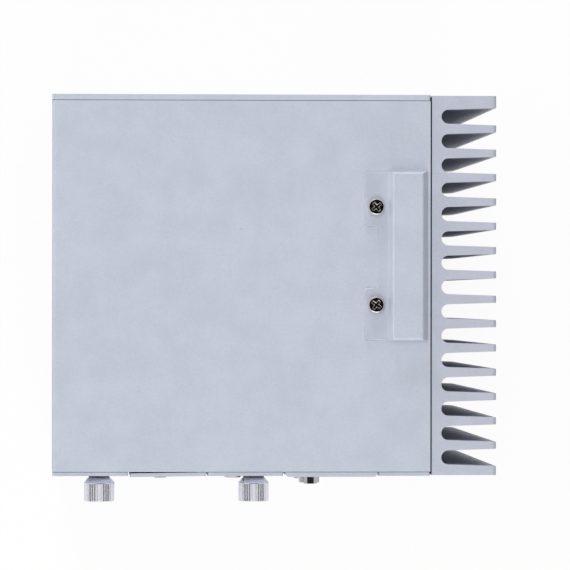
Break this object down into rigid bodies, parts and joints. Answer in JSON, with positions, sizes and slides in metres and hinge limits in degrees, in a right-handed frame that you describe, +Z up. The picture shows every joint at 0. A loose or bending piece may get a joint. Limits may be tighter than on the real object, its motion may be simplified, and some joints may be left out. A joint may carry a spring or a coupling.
{
  "type": "fanless industrial computer",
  "caption": "Upright fanless industrial computer: painted folded case, finned side heatsink, front bay plates with knurled captive screws, raised card cover on its flat face.",
  "frame": {"origin": "the middle of the standing face, under the folded case", "axes": "+Z up from the standing face to the flat face with the card cover, +X towards the heatsink, -Y towards the front plates"},
  "size_m": [0.1824, 0.1703, 0.2185],
  "materials": {
    "painted_sheet": "fine-texture powder coat, pale blue-grey",
    "painted_extrusion": "fine-texture powder coat over an aluminium extrusion",
    "zinc_sheet": "zinc-plated folded sheet",
    "knurled_nickel": "nickel-plated, straight knurl",
    "bright_screws": "bright nickel plating",
    "dark_screws": "black oxide",
    "brass_parts": "plain brass",
    "nickel_shells": "satin nickel-plated shells",
    "gold_pins": "gold flash",
    "black_moulding": "glass-filled moulding",
    "gasket_rubber": "matt foam rubber",
    "circuit_board": "solder resist over laminate",
    "processor_lid": "nickel-plated lid",
    "bare_aluminium": "milled, bare",
    "card_shell": "moulded card shell",
    "light_pipe": "clear moulded pipe",
    "button_metal": "satin-turned metal"
  },
  "bodies": {
    "case": {"backplane": "circuit_board", "bay_plate_1": "painted_sheet", "bay_plate_2": "painted_sheet", "bay_plate_3": "painted_sheet", "board_link": "black_moulding", "board_posts": "brass_parts", "board_screws": "dark_screws", "button_ring": "button_metal", "button_switch": "black_moulding", "card_board": "circuit_board", "card_cover": "painted_sheet", "card_cover_screws": "bright_screws", "card_sockets": "black_moulding", "coin_cell": "processor_lid", "connector_pins": "gold_pins", "connector_plate": "painted_sheet", "cover": "painted_sheet", "cover_screws": "bright_screws", "display_shell_1": "nickel_shells", "display_shell_2": "nickel_shells", "drive_1": "bare_aluminium", "drive_2": "bare_aluminium", "drive_sockets": "black_moulding", "drive_tray_1": "zinc_sheet", "drive_tray_2": "zinc_sheet", "earth_screw": "brass_parts", "front_frame": "zinc_sheet", "front_screws": "bright_screws", "heat_block": "bare_aluminium", "heatsink": "painted_extrusion", "heatsink_gasket": "gasket_rubber", "heatsink_screws": "dark_screws", "light_pipes": "light_pipe", "main_board": "circuit_board", "memory_module": "circuit_board", "memory_socket": "black_moulding", "network_block": "nickel_shells", "port_tongues": "black_moulding", "power_inlet": "black_moulding", "processor": "processor_lid", "rear_frame": "zinc_sheet", "rear_plate": "painted_sheet", "rear_screws": "bright_screws", "serial_board": "circuit_board", "serial_insert_1": "black_moulding", "serial_insert_2": "black_moulding", "serial_shell_1": "nickel_shells", "serial_shell_2": "nickel_shells", "serial_standoffs": "nickel_shells", "side_strip": "painted_sheet", "slot_socket": "black_moulding", "small_card": "black_moulding", "storage_card": "card_shell", "thermal_pad": "gasket_rubber", "thumb_screws": "knurled_nickel", "thumb_washers": "black_moulding", "tray_rails": "black_moulding", "usb_shell_1": "nickel_shells", "usb_shell_2": "nickel_shells"},
    "button": {"power_button": "button_metal"}
  },
  "joints": [
    {"name": "button_press", "type": "slide", "parent": "case", "child": "button", "axis": [0, 1, 0], "range_m": [0, 0.0012], "stiffness_N_per_m": 400}
  ]
}
